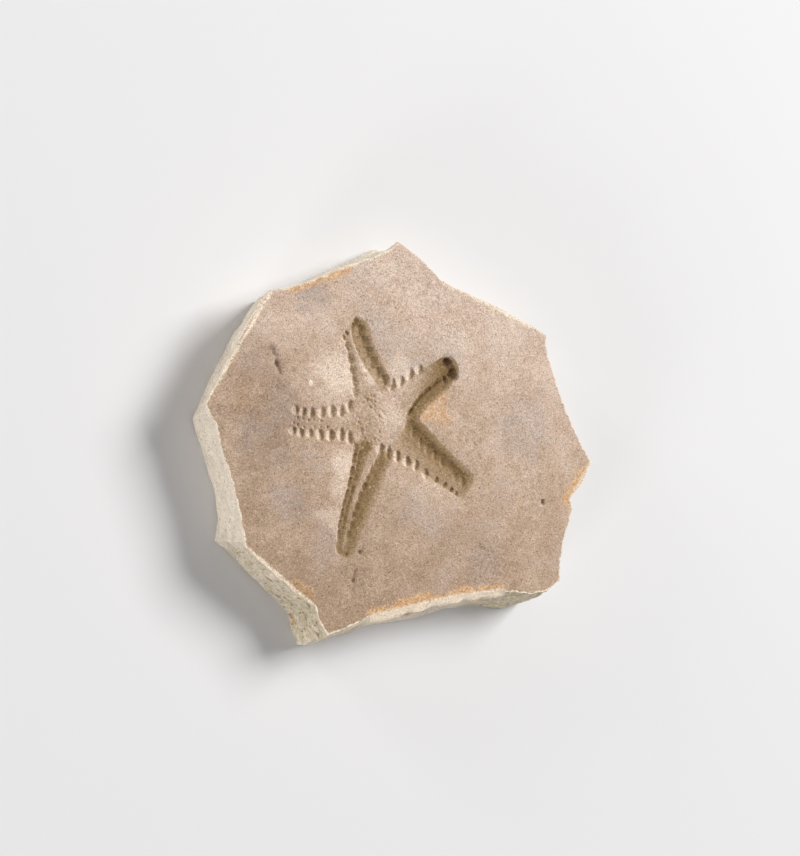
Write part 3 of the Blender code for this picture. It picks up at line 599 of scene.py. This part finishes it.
def granule_share(x, y, radius, outside, pits):
    """How clear the granules' prints are: clearest on the left of the disc, and none in the sockets."""
    share = smooth(0.0, GRANULE_RIM, -outside) * (1.0 - smooth(0.0, GRANULE_SOCKET, pits))
    share *= 1.0 - GRANULE_LOSS * smooth(DISC_RADIUS, DISC_RADIUS + GRANULE_FADE, radius)
    patches = smooth(-GRANULE_PATCHY, GRANULE_PATCHY, waves(x, y, GRANULE_LAYER, WARP_SIZE))
    return share * (GRANULE_LEAST + (1.0 - GRANULE_LEAST) * patches * smooth(*GRANULE_CLEAR, x))


def granule_prints(x, y, wanted):
    """Small round hollows, side by side, where the animal's granules pressed in: 0 to 1."""
    prints = np.zeros_like(x)
    for index in np.flatnonzero(wanted):
        distances, _ = noise.voronoi(Vector((x[index], y[index], 0.0)) / GRANULE)
        prints[index] = 1.0 - min(1.0, GRANULE_STEEP * distances[0])
    return prints


def segment_distance(x, y, start, end):
    """Distance from each point to the segment between two points."""
    east, north = end[0] - start[0], end[1] - start[1]
    share = ((x - start[0]) * east + (y - start[1]) * north) / (east * east + north * north)
    share = np.clip(share, 0.0, 1.0)
    return np.hypot(x - start[0] - share * east, y - start[1] - share * north)


def mark_depth(x, y):
    """Depth of the grooves in the bedding face."""
    depth = np.zeros_like(x)
    for start, end, half_width, deep in MARKS:
        off = segment_distance(x, y, start, end) / half_width
        depth += deep * np.clip(1.0 - off * off, 0.0, 1.0) ** MARK_ROUNDING
    return depth


def swell(x, y):
    """How far the bedding face lies below its highest level, before any relief."""
    return 0.5 * SWELL_HEIGHT * (1.0 + waves(x, y, 0.0, SWELL_SIZE))


def face_height(x, y):
    """Height of the bedding face."""
    depth = mould(x, y).depth
    height = THICKNESS - swell(x, y) - depth - mark_depth(x, y)
    rougher = 1.0 + ROUGHER * smooth(*ROUGHER_BELOW, depth)
    for number, (size, amount) in enumerate(GRIT):
        height += rougher * amount * waves(x, y, GRIT_LAYER * number, size)
    return height


def underside_height(x, y):
    """Height of the underside: 0 where the slab rests, and more past its step."""
    return STEP_HEIGHT * smooth(STEP_AT, STEP_AT + STEP_WIDTH, x + STEP_SLANT * y)


def slab_outlines():
    """The face's and the foot's outlines, point for point, in short steps."""
    corners = np.array(ARRISES)
    rows = []
    for corner, following in zip(corners, np.roll(corners, -1, axis=0)):
        count = max(1, round(np.linalg.norm((following - corner)[:2]) / RIM_STEP))
        rows += [corner + (following - corner) * step / count for step in range(count)]
    rows = np.array(rows)
    return rows[:, :2], rows[:, 2:]


def outward(outline):
    """Unit normals that point out of an anticlockwise outline."""
    run = np.roll(outline, -NORMAL_REACH, axis=0) - np.roll(outline, NORMAL_REACH, axis=0)
    normals = np.column_stack([run[:, 1], -run[:, 0]])
    return normals / np.linalg.norm(normals, axis=1)[:, None]


def wall_relief(x, y, z):
    """How far the broken wall stands out from the plain surface between the two outlines."""
    stand = WALL_LUMP_HEIGHT * waves(x, y, WALL_LAYERING * z, WALL_LUMP)
    for height, width in LEDGES:
        present = smooth(0.0, LEDGE_PRESENT, waves(x, y, LEDGE_LAYER * height, 2.0 * WALL_LUMP))
        stand -= width * present * smooth(height, height + LEDGE_RISE, z)
    return stand


def wall_holes(x, y, z):
    """Depth of the holes in the broken wall."""
    depth = np.zeros_like(x)
    for east, north, up, half_length, half_height, deep in WALL_HOLES:
        off = (np.hypot(x - east, y - north) / half_length) ** 2 + ((z - up) / half_height) ** 2
        depth = np.maximum(depth, deep * np.clip(1.0 - off, 0.0, 1.0))
    return depth


def wall_grit(x, y, z):
    """The fracture's finer roughness."""
    return sum(height * waves(x, y, layering * z, size) for size, height, layering in WALL_GRIT)


def chip_share(x, y):
    """1 along the freshly chipped stretch of the top edge, and 0 elsewhere."""
    share = smooth(FRESH_CHIP_FROM - CHIP_FADE, FRESH_CHIP_FROM + CHIP_FADE, x)
    share *= 1.0 - smooth(FRESH_CHIP_TO - CHIP_FADE, FRESH_CHIP_TO + CHIP_FADE, x)
    return share * (y < FRESH_CHIP_BELOW)


def edge_wear(face):
    """How far the top edge is worn or chipped outward at each point of the face's outline."""
    east, north = face.T
    uneven = 1.0 + WEAR_VARIES * waves(east, north, WEAR_LAYER, WEAR_SIZE)
    return (ARRIS_WEAR + (FRESH_CHIP_WIDTH - ARRIS_WEAR) * chip_share(east, north)) * uneven


def wall_rings():
    """The rings of points from the foot up to the rim of the face, each with the depth of its hole."""
    face, foot = slab_outlines()
    normals = outward(face)
    wear = edge_wear(face)
    ragged = ragged_by(*face.T, [RIM_RAGGED])
    ragged += np.minimum(ragged_by(*face.T, [RIM_BITES]), 0.0)
    face = face + normals * ragged[:, None]
    rings = []
    for level in 1.0 - (1.0 - np.linspace(0.0, 1.0, WALL_COUNT)) ** WALL_CROWDING:
        plain = foot + (face - foot) * level
        height = np.full(len(face), level * THICKNESS)
        open_wall = 1.0 - smooth(WALL_PLAIN_FROM, 1.0, level)
        from_foot = smooth(0.0, FOOT_BLEND, level)
        stand = wall_relief(*plain.T, height) * open_wall * from_foot
        stand += wall_grit(*plain.T, height) * from_foot * (1.0 - smooth(GRIT_UNTIL, 1.0, level))
        stand += wear * smooth(*WORN_BETWEEN, level) * (1.0 - smooth(WEAR_UNTIL, 1.0, level))
        holes = wall_holes(*plain.T, height)
        stand -= holes
        stand -= FOOT_WEAR * (1.0 - from_foot)
        places = plain + normals * stand[:, None]
        floor = underside_height(*places.T)
        top = face_height(*face.T)
        rings.append(np.column_stack([places, floor + (top - floor) * level, holes]))
    return rings


def lattice(step):
    """Points of a triangular lattice over the whole slab, a little shaken."""
    half = np.abs(np.array(ARRISES)).max()
    rows = np.arange(-half, half, step * sqrt(0.75))
    columns = np.arange(-half, half, step)
    east, north = np.meshgrid(columns, rows)
    east = east + 0.5 * step * (np.arange(len(rows)) % 2)[:, None]
    points = np.column_stack([east.ravel(), north.ravel()])
    return points + np.random.default_rng(SEED).uniform(-LATTICE_SHAKE, LATTICE_SHAKE, points.shape) * step


def edge_gap(outline, points):
    """Each point's distance inside the outline, negative outside it."""
    ends = np.roll(outline, -1, axis=0)
    run = ends - outline
    gaps = []
    for some in np.array_split(points, max(1, len(points) // AT_ONCE)):
        offset = some[:, None] - outline[None]
        share = np.clip((offset * run).sum(2) / (run * run).sum(1), 0.0, 1.0)
        gap = np.linalg.norm(offset - share[..., None] * run, axis=2).min(axis=1)
        straddles = (outline[:, 1] > some[:, None, 1]) != (ends[:, 1] > some[:, None, 1])
        lift = np.where(run[:, 1] == 0.0, 1.0, run[:, 1])
        crossing = outline[:, 0] + (some[:, None, 1] - outline[:, 1]) * run[:, 0] / lift
        odd = (straddles & (some[:, None, 0] < crossing)).sum(axis=1) % 2 == 1
        gaps.append(np.where(odd, gap, -gap))
    return np.concatenate(gaps)


def face_points(rim):
    """The points of the bedding face inside its rim: dense on the star, and a wider lattice round it."""
    fine = lattice(FINE_LATTICE)
    fine = fine[outside_mould(*fine.T) < FINE_MARGIN]
    ground = lattice(FACE_LATTICE)
    ground = ground[outside_mould(*ground.T) > FINE_MARGIN + LATTICE_JOIN * FACE_LATTICE]
    ground = ground[edge_gap(rim, ground) > LATTICE_CLEAR * FACE_LATTICE]
    return np.vstack([fine, ground])


def fill(outline, points):
    """Triangles over an outline and the points inside it, numbered with the outline's points first."""
    places = [Vector(place) for place in np.vstack([outline, points])]
    ring = list(range(len(outline)))
    inside, nearest = 1, 1e-6  # keep the triangles inside the ring, and merge points this near
    _, _, faces, origins, _, _ = delaunay_2d_cdt(places, [], [ring], inside, nearest)
    return [[origins[corner][0] for corner in face] for face in faces]


def add_sheet(bm, ring, points, heights, upward):
    """Fills a ring of vertices with a triangulated sheet that also passes through the points."""
    outline = np.array([vertex.co.xy for vertex in ring]) / MM
    vertices = list(ring)
    vertices += [bm.verts.new(Vector((x, y, z)) * MM) for (x, y), z in zip(points, heights)]
    for triangle in fill(outline, points):
        corners = [vertices[corner] for corner in triangle]
        bm.faces.new(corners if upward else corners[::-1])


def add_walls(bm, rings):
    """Joins the rings with quads, from the foot to the rim, and returns the rings' vertices."""
    loops = [[bm.verts.new(Vector(place) * MM) for place in ring[:, :3]] for ring in rings]
    for lower, upper in zip(loops, loops[1:]):
        for near in range(len(lower)):
            far = (near + 1) % len(lower)
            bm.faces.new((lower[near], lower[far], upper[far], upper[near]))
    return loops


def ragged_by(x, y, layers):
    """How far an edge strays from its plain line, by a list of waves."""
    return sum(amount * waves(x, y, layer, size) for amount, layer, size in layers)


def stretch_of(x, y, stretches):
    """How strongly each point is coloured by a list of stretches, with ragged edges."""
    ragged = ragged_by(x, y, STRETCH_RAGGED)
    coloured = np.zeros_like(x)
    for start, end, half_width, strength in stretches:
        off = segment_distance(x, y, start, end) / half_width + ragged
        coloured = np.maximum(coloured, strength * (1.0 - smooth(STRETCH_CORE, 1.0, off)))
    return coloured


def patches_of(x, y, patches):
    """How strongly each point is coloured by a list of round soft patches."""
    ragged = ragged_by(x, y, PATCH_RAGGED)
    coloured = np.zeros_like(x)
    for east, north, radius, strength in patches:
        off = np.hypot(x - east, y - north) / radius + ragged
        coloured = np.maximum(coloured, strength * (1.0 - smooth(PATCH_CORE, 1.0, off)))
    return coloured


def paleness_and_light(x, y):
    """How pale the skin is, partly its colour and partly painted light: from 0 at the lower side of the slab
    to PALE_RANGE at the upper.
    """
    turn = radians(PALE_TOWARD)
    across = (x * cos(turn) + y * sin(turn)) / PALE_REACH
    return PALE_RANGE * (0.5 + 0.5 * np.clip(across, -1.0, 1.0))


def face_looks(x, y, inset):
    """What the stone's colours follow on the bedding face, point by point."""
    here = mould(x, y)
    climbing = mould(x - STAIN_STEP, y).depth - mould(x + STAIN_STEP, y).depth
    hollow = here.stain + patches_of(x, y, STAINED)
    climb = climbing / (2.0 * STAIN_STEP)
    in_mould = smooth(*MOULD_BEGINS, here.depth)
    in_socket = smooth(*SOCKET_BEGINS, here.pits)
    # Painted shade: brown laid on the slopes that face away from the key lamp.
    painted_shade = CLIMB_SHADE * smooth(*CLIMB_SLOPES, climb) * in_mould
    hollow = np.maximum(hollow + SHADE_OVER_STAIN * painted_shade * (1.0 - hollow), painted_shade)
    # Painted highlight: the slopes that drop towards +X face the key lamp and are made paler.
    dropping = smooth(*DROP_SLOPES, -climb) * in_mould
    painted_highlight = DROP_HIGHLIGHT * dropping * (1.0 - smooth(*DROP_STAINS, here.stain))
    painted_highlight *= DROP_PLAIN + (1.0 - DROP_PLAIN) * in_socket
    hollow *= 1.0 - np.maximum(painted_highlight, DROP_LIGHTENS * dropping * in_socket)
    hollow = np.clip(hollow, 0.0, 1.0)
    chip_and_highlight = chip_share(x, y) * (1.0 - smooth(*CHIP_REACH, inset))
    return {
        "inset": inset,
        "paleness_and_light": paleness_and_light(x, y),
        "hollow": hollow,
        # Rubbed pale ground, and painted highlight on ground and slopes that face the light.
        "rubbed_and_lit": np.maximum(patches_of(x, y, PALE_AND_LIT) * (1.0 - hollow), painted_highlight),
        # The fresh chip, and the rim worn pale with a painted highlight along the edges that catch the light.
        "chip_and_highlight": np.maximum(chip_and_highlight, stretch_of(x, y, WORN_AND_LIT_RIM)),
        "rust": np.maximum(stretch_of(x, y, RUST), patches_of(x, y, SOFT_RUST)),
        # Painted shade in the grooves and holes, and browner ground on the left that is partly painted shade.
        "shade_and_brown": np.maximum(patches_of(x, y, SHADE_AND_BROWN_PATCHES), MARK_SHADE * smooth(*MARK_DEPTHS, mark_depth(x, y))),
        "grey": patches_of(x, y, GREY),
    }


def wall_looks(x, y, z, holes):
    """The same on the broken walls. The distance inside the rim or the foot is negative there."""
    rust = np.zeros_like(x)
    for east, north, up, radius in WALL_RUST:
        off = np.hypot(np.hypot(x - east, y - north), z - up) / radius
        rust = np.maximum(rust, 1.0 - smooth(PATCH_CORE, 1.0, off))
    grime = np.zeros_like(x)
    for east, north, radius, strength in WALL_GRIME:
        off = np.hypot(x - east, y - north) / radius
        grime = np.maximum(grime, strength * (1.0 - smooth(GRIME_CORE, 1.0, off)))
    return {
        "inset": -np.minimum(z, THICKNESS - z),
        "paleness_and_light": paleness_and_light(x, y),
        "chip_and_highlight": chip_share(x, y) * smooth(CHIP_FROM - CHIP_RISE, CHIP_FROM, z),
        "rust": rust,
        # Painted shade in the wall's holes, darker the deeper they are.
        "shade_and_brown": smooth(*HOLE_SHADE, holes),
        "grime": grime,
    }


def set_looks(mesh, parts):
    """Writes the looks as attributes of the mesh's points, from its parts in order: 0 where not given."""
    for name in LOOKS:
        values = np.concatenate([part.get(name, np.zeros_like(part["inset"])) for part in parts])
        mesh.attributes.new(name, "FLOAT", "POINT").data.foreach_set("value", values)


def add_object(name, data):
    made = bpy.data.objects.new(name, data)
    bpy.context.scene.collection.objects.link(made)
    return made


def build_slab():
    """The slab as one closed mesh, with what its colours follow written on its points."""
    rings = wall_rings()
    bm = bmesh.new()
    loops = add_walls(bm, rings)
    rim = rings[-1][:, :2]
    top = face_points(rim)
    add_sheet(bm, loops[-1], top, face_height(*top.T), upward=True)
    sole = rings[0][:, :2]
    bottom = lattice(UNDERSIDE_LATTICE)
    bottom = bottom[edge_gap(sole, bottom) > LATTICE_CLEAR * UNDERSIDE_LATTICE]
    add_sheet(bm, loops[0], bottom, underside_height(*bottom.T), upward=False)
    mesh = bpy.data.meshes.new("fossil_slab")
    bm.to_mesh(mesh)
    bm.free()
    walls = np.vstack(rings[:-1])
    set_looks(mesh, [
        wall_looks(*walls.T),
        face_looks(*rim.T, np.zeros(len(rim))),
        face_looks(*top.T, np.clip(edge_gap(rim, top), 0.0, INSET_MOST)),
        {"inset": np.clip(edge_gap(sole, bottom), 0.0, INSET_MOST), "paleness_and_light": paleness_and_light(*bottom.T)},
    ])
    mesh.shade_smooth()
    mesh.set_sharp_from_angle(angle=radians(SHARP_ANGLE))
    return add_object("fossil_slab", mesh)


def tint(red, green, blue):
    """A linear colour from its 8-bit sRGB values."""
    linear = [((value / 255.0 + 0.055) / 1.055) ** 2.4 for value in (red, green, blue)]
    return (*linear, 1.0)


class Paint:
    """Adds shader nodes to one material. Sizes are in millimetres."""

    def __init__(self, name):
        self.material = bpy.data.materials.new(name)
        self.material.use_nodes = True
        self.nodes = self.material.node_tree.nodes
        self.shader = self.nodes["Principled BSDF"]
        self.place = self.nodes.new("ShaderNodeTexCoord").outputs["Object"]

    def feed(self, socket, value):
        if isinstance(value, bpy.types.NodeSocket):
            self.material.node_tree.links.new(value, socket)
        else:
            socket.default_value = value

    def look(self, name):
        node = self.nodes.new("ShaderNodeAttribute")
        node.attribute_name = name
        return node.outputs["Fac"]

    def noise(self, size, detail=2.0, flatness=1.0):
        """Noise from 0 to 1, its swells drawn out along the bedding where flatness is over 1."""
        stretch = self.nodes.new("ShaderNodeMapping")
        self.feed(stretch.inputs["Vector"], self.place)
        stretch.inputs["Scale"].default_value = (1.0, 1.0, flatness)
        node = self.nodes.new("ShaderNodeTexNoise")
        self.feed(node.inputs["Vector"], stretch.outputs["Vector"])
        node.inputs["Scale"].default_value = 1.0 / (size * MM)
        node.inputs["Detail"].default_value = detail
        return node.outputs["Fac"]

    def cells(self, size):
        """A random grey for each grain of about this size."""
        node = self.nodes.new("ShaderNodeTexVoronoi")
        self.feed(node.inputs["Vector"], self.place)
        node.inputs["Scale"].default_value = 1.0 / (size * MM)
        split = self.nodes.new("ShaderNodeSeparateColor")
        self.feed(split.inputs["Color"], node.outputs["Color"])
        return split.outputs["Red"]

    def rise(self, value, start, end, low=0.0, high=1.0):
        """A smooth rise from low to high as the value goes from start to end."""
        node = self.nodes.new("ShaderNodeMapRange")
        node.interpolation_type = "SMOOTHSTEP"
        self.feed(node.inputs["Value"], value)
        for socket, amount in zip(("From Min", "From Max", "To Min", "To Max"), (start, end, low, high)):
            node.inputs[socket].default_value = amount
        return node.outputs["Result"]

    def maths(self, operation, first, second):
        node = self.nodes.new("ShaderNodeMath")
        node.operation = operation
        self.feed(node.inputs[0], first)
        self.feed(node.inputs[1], second)
        return node.outputs["Value"]

    def mix(self, share, first, second, mode="MIX"):
        """The first colour turned into the second by a share."""
        node = self.nodes.new("ShaderNodeMix")
        node.data_type = "RGBA"
        node.blend_type = mode
        factor, first_colour, second_colour = (
            next(socket for socket in node.inputs if socket.identifier == name)
            for name in ("Factor_Float", "A_Color", "B_Color")
        )
        self.feed(factor, share)
        self.feed(first_colour, first)
        self.feed(second_colour, second)
        return next(socket for socket in node.outputs if socket.identifier == "Result_Color")

    def ramp(self, value, *stops):
        """A colour that runs through the stops: each a place from 0 to 1 and a colour."""
        node = self.nodes.new("ShaderNodeValToRGB")
        points = node.color_ramp.elements
        for number, (place, colour) in enumerate(stops):
            point = points[number] if number < 2 else points.new(place)
            point.position = place
            point.color = tint(*colour)
        self.feed(node.inputs["Fac"], value)
        return node.outputs["Color"]

    def bump(self, height, relief, normal=None):
        node = self.nodes.new("ShaderNodeBump")
        node.inputs["Distance"].default_value = relief * MM
        self.feed(node.inputs["Height"], height)
        if normal:
            self.feed(node.inputs["Normal"], normal)
        return node.outputs["Normal"]


def weathered_skin(paint, grain, splash):
    """The brown bedding face: clouds of tan, pink and lilac grey, browner towards the lower left, partly as
    painted light that falls off there.
    """
    clouds = paint.rise(paint.noise(CLOUD, 3.0), *NOISE_SPAN, 0.0, CLOUD_TINT)
    shade = paint.maths("ADD", clouds, paint.rise(splash, *NOISE_SPAN, 0.0, SPLASH_TINT))
    shade = paint.maths("ADD", shade, paint.look("paleness_and_light"))
    skin = paint.ramp(shade, (0.2, SKIN_BROWN), (0.45, SKIN_TAN), (0.75, SKIN_PINK), (1.0, SKIN_PALE))
    grey_clouds = paint.rise(paint.noise(2.0 * CLOUD, 4.0), 0.5, 0.7, 0.0, 0.4)
    grey = paint.maths("MAXIMUM", paint.look("grey"), grey_clouds)
    grey = paint.maths("MULTIPLY", grey, paint.rise(splash, 0.35, 0.6, 0.45, 1.0))
    skin = paint.mix(grey, skin, tint(*SKIN_GREY))
    # Rubbed pale ground, with painted highlight on the slopes and shoulders that face the light.
    skin = paint.mix(paint.maths("MULTIPLY", paint.look("rubbed_and_lit"), RUBBED_AND_LIT_MOST), skin, tint(*RUBBED_AND_LIT))
    fine_splash = paint.noise(0.5 * SPLASH, 3.0)
    rusty = paint.ramp(fine_splash, (0.3, RUSTY_DEEP), (0.5, RUSTY), (0.65, RUSTY_PALE))
    patchy = paint.rise(grain, 0.3, 0.6, 0.7, 1.0)
    return paint.mix(paint.maths("MULTIPLY", paint.look("rust"), patchy), skin, rusty)


def stained_hollow(paint, splash):
    """The mould's brown stain with its painted shade, darkest where it is deepest."""
    return paint.ramp(
        paint.maths("ADD", paint.look("hollow"), paint.rise(splash, *NOISE_SPAN, *STAIN_VARIES)),
        (0.3, HOLLOW), (1.0, HOLLOW_DEEP),
    )


def fresh_break(paint, splash):
    """The pale broken stone of the walls, streaked along its bedding."""
    streak = paint.noise(STREAK, 3.0, flatness=3.0)
    pale = paint.ramp(streak, (0.3, FRESH_GREY), (0.65, FRESH_CREAM))
    dirt = paint.rise(paint.noise(DIRT, 3.0, flatness=1.8), 0.6, 0.8, 0.0, 0.3)
    pale = paint.mix(dirt, pale, tint(*HOLLOW))
    mottled = paint.maths("MULTIPLY", paint.look("grime"), paint.rise(splash, 0.35, 0.65, 0.35, 1.0))
    pale = paint.mix(mottled, pale, tint(*GRIMY))
    soil = paint.maths("MULTIPLY", paint.look("grime"), paint.rise(paint.noise(SOIL, 3.0), 0.56, 0.68))
    pale = paint.mix(soil, pale, tint(*HOLLOW_DEEP))
    stained = paint.maths("MULTIPLY", paint.look("rust"), paint.rise(splash, 0.35, 0.6))
    return paint.mix(stained, pale, tint(*RUSTY_DEEP))


def sandstone():
    """The stone's one material: skin, stain, fresh break and whitened edge, with painted shade on the mould's
    slopes and in its holes, painted highlight on its edges and lit slopes, and the grain over them all.
    """
    paint = Paint("sandstone")
    grain = paint.noise(GRAIN, 1.0)
    speck = paint.cells(SPECK)
    splash = paint.noise(SPLASH, 3.0)
    skin = weathered_skin(paint, grain, splash)
    # The mould's stain, with the painted shade of its slopes that face away from the light.
    hollow = paint.rise(paint.look("hollow"), 0.0, STAIN_FULL)
    skin = paint.mix(hollow, skin, stained_hollow(paint, splash))
    edge = paint.maths("ADD", paint.look("inset"), paint.rise(splash, *NOISE_SPAN, *EDGE_VARIES))
    stone = paint.mix(paint.rise(edge, *SKIN_BEGINS), fresh_break(paint, splash), skin)
    # The arris bruised white, partly a painted highlight along the edge that catches the light.
    bruise_and_highlight = paint.maths("MULTIPLY", paint.rise(edge, *BRUISE_AND_HIGHLIGHT_BEGINS), paint.rise(edge, *BRUISE_AND_HIGHLIGHT_ENDS))
    bruise_and_highlight = paint.maths("MAXIMUM", bruise_and_highlight, paint.look("chip_and_highlight"))
    stone = paint.mix(bruise_and_highlight, stone, tint(*FRESH_WHITE_AND_HIGHLIGHT))
    # Painted shade in holes and grooves, and the browner left of the face.
    stone = paint.mix(paint.look("shade_and_brown"), stone, tint(*SHADE_AND_SPECK_BROWN))
    specks = paint.rise(speck, 0.0, 1.0, *SPECK_SHADES)
    grains = paint.maths("ADD", paint.rise(grain, *NOISE_SPAN, *GRAIN_SHADES), specks)
    stone = paint.mix(paint.rise(edge, *GRAIN_SHOWS), stone, grains, "MULTIPLY")
    stone = paint.mix(paint.rise(speck, *WHITE_SPECKS), stone, tint(*FRESH_WHITE_AND_HIGHLIGHT))
    stone = paint.mix(paint.rise(speck, *BROWN_SPECKS), stone, tint(*SHADE_AND_SPECK_BROWN))
    paint.feed(paint.shader.inputs["Base Color"], stone)
    paint.feed(paint.shader.inputs["Roughness"], paint.rise(speck, 0.0, 1.0, *ROUGHNESS))
    paint.shader.inputs["Specular IOR Level"].default_value = SPECULAR
    coarse = paint.bump(splash, SPLASH_RELIEF)
    paint.feed(paint.shader.inputs["Normal"], paint.bump(grain, GRAIN_RELIEF, coarse))
    return paint.material


def add_floor():
    mesh = bpy.data.meshes.new("floor")
    signs = ((-1, -1), (1, -1), (1, 1), (-1, 1))
    mesh.from_pydata([(x * FLOOR_HALF, y * FLOOR_HALF, 0) for x, y in signs], [], [(0, 1, 2, 3)])
    paper = bpy.data.materials.new("paper")
    paper.use_nodes = True
    shader = paper.node_tree.nodes["Principled BSDF"]
    shader.inputs["Base Color"].default_value = PAPER
    shader.inputs["Roughness"].default_value = PAPER_ROUGHNESS
    mesh.materials.append(paper)
    return add_object("floor", mesh)


def add_lamp(name, azimuth, elevation, distance, size, power, colour):
    """A square soft lamp that faces the slab."""
    light = bpy.data.lights.new(name, "AREA")
    light.size = size
    light.energy = power
    light.color = colour
    lamp = add_object(name, light)
    turn, rise = radians(azimuth), radians(elevation)
    toward = Vector((cos(turn) * cos(rise), sin(turn) * cos(rise), sin(rise)))
    lamp.location = toward * distance
    lamp.rotation_euler = toward.to_track_quat("Z", "Y").to_euler()


def add_camera():
    tilt, turn = radians(TILT), radians(CAMERA_AZIMUTH)
    back = Vector((sin(tilt) * cos(turn), sin(tilt) * sin(turn), cos(tilt)))
    up = (Vector((0, 1, 0)) - back * back.y).normalized()
    right = up.cross(back)
    camera = bpy.data.cameras.new("camera")
    camera.lens = LENS
    camera.sensor_width = SENSOR
    holder = add_object("camera", camera)
    eye = (Vector(AIM) + back * CAMERA_DISTANCE) * MM
    holder.matrix_world = Matrix.Translation(eye) @ Matrix((right, up, back)).transposed().to_4x4()
    bpy.context.scene.camera = holder


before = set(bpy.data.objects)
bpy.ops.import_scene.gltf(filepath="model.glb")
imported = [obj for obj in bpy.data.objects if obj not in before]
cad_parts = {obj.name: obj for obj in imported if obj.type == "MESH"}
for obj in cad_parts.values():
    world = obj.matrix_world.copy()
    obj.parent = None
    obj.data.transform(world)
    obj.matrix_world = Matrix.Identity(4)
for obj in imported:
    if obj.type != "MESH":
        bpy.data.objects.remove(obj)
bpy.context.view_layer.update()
scene = bpy.context.scene
scene.view_settings.view_transform = "Standard"
add_camera()

slab = build_slab()
slab.data.materials.append(sandstone())
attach(slab, "root")
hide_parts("slab")

add_floor()
world = bpy.data.worlds.new("studio")
scene.world = world
world.use_nodes = True
background = world.node_tree.nodes["Background"]
background.inputs["Color"].default_value = WORLD_WHITE
background.inputs["Strength"].default_value = WORLD_STRENGTH
for name, numbers in LAMPS.items():
    add_lamp(name, *numbers)
